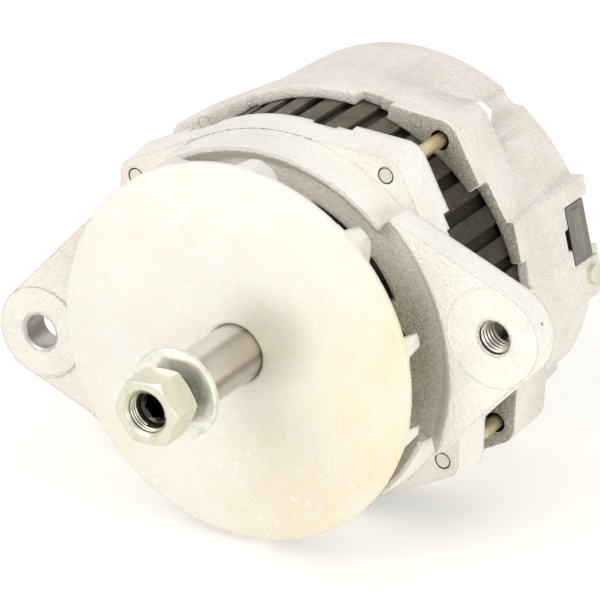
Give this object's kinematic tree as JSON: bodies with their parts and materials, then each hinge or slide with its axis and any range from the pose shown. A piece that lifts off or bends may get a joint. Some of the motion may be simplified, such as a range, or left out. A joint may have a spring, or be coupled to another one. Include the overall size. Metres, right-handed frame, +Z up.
{
  "type": "alternator",
  "caption": "Heavy-duty alternator with an open bladed fan, two opposed mounting ears, laminated stator, through-bolts, brush gear and a shaft nose with nut and washer.",
  "frame": {"origin": "on the shaft's axis, at mid length of the bare pulley seat between washer and fan, where the belt runs", "axes": "+Y along the shaft from the threaded nose towards the rear frame, +Z up with a lobe and the round of the frames on the ground and the ears level to 13 degrees, +X to the right seen from the nose, towards the threaded ear"},
  "size_m": [0.2306, 0.2147, 0.1538],
  "materials": {
    "cast_aluminium": "sand-cast, bare",
    "fan_cast": "cast, bare",
    "core_steel": "dark varnished laminations",
    "copper": "varnished copper",
    "steel": "ground steel",
    "bearing_steel": "ground and polished",
    "zinc": "pale zinc",
    "yellow_zinc": "yellow zinc",
    "forged_steel": "forged, bare",
    "grey_plastic": "moulded",
    "black_plastic": "moulded",
    "seal_rubber": "moulded",
    "brass": "bare brass",
    "carbon": "pressed carbon"
  },
  "bodies": {
    "housing": {"drive_end_frame": "cast_aluminium", "rear_frame": "cast_aluminium", "stator_core": "core_steel", "stator_windings": "copper", "through_bolts": "yellow_zinc", "ear_bushing": "steel", "bearing_retainer": "steel", "retainer_screws": "zinc", "front_bearing_outer_race": "bearing_steel", "front_bearing_seals": "seal_rubber", "rear_bearing_shell": "bearing_steel", "rectifier_heat_sink": "cast_aluminium", "rectifier_diodes": "zinc", "output_stud": "zinc", "output_insulator": "black_plastic", "output_nut": "zinc", "voltage_regulator": "black_plastic", "connector_plate": "grey_plastic", "relay_terminal": "brass", "ground_screw": "zinc", "capacitor": "zinc", "brush_spring_front": "steel", "brush_spring_rear": "steel", "brush_holder": "black_plastic"},
    "rotor": {"rotor_shaft": "steel", "fan": "fan_cast", "fan_collar": "steel", "shaft_washer": "zinc", "shaft_nut": "zinc", "front_pole": "forged_steel", "rear_pole": "forged_steel", "field_coil": "copper", "slip_ring_sleeve": "black_plastic", "slip_rings": "copper", "front_bearing_inner_race": "bearing_steel"},
    "needle_cage": {"rear_bearing_needles": "bearing_steel", "rear_bearing_cage": "steel"},
    "front_brush": {"brush_front": "carbon"},
    "rear_brush": {"brush_rear": "carbon"}
  },
  "joints": [
    {"name": "rotor_spin", "type": "hinge", "parent": "housing", "child": "rotor", "pos_m": [0, 0, 0], "axis": [0, 1, 0], "continuous": true},
    {"name": "needle_cage_spin", "type": "hinge", "parent": "housing", "child": "needle_cage", "pos_m": [0, 0.145, 0], "axis": [0, 1, 0], "continuous": true},
    {"name": "front_brush_slide", "type": "slide", "parent": "housing", "child": "front_brush", "axis": [0, 0, 1], "range_m": [0, 0.004], "stiffness_N_per_m": 150, "springref_m": -0.012, "deforming": ["brush_spring_front"]},
    {"name": "rear_brush_slide", "type": "slide", "parent": "housing", "child": "rear_brush", "axis": [0, 0, 1], "range_m": [0, 0.004], "stiffness_N_per_m": 150, "springref_m": -0.012, "deforming": ["brush_spring_rear"]}
  ],
  "couplings": [
    {"joint": "needle_cage_spin", "follows": "rotor_spin", "ratio": 0.4152}
  ]
}
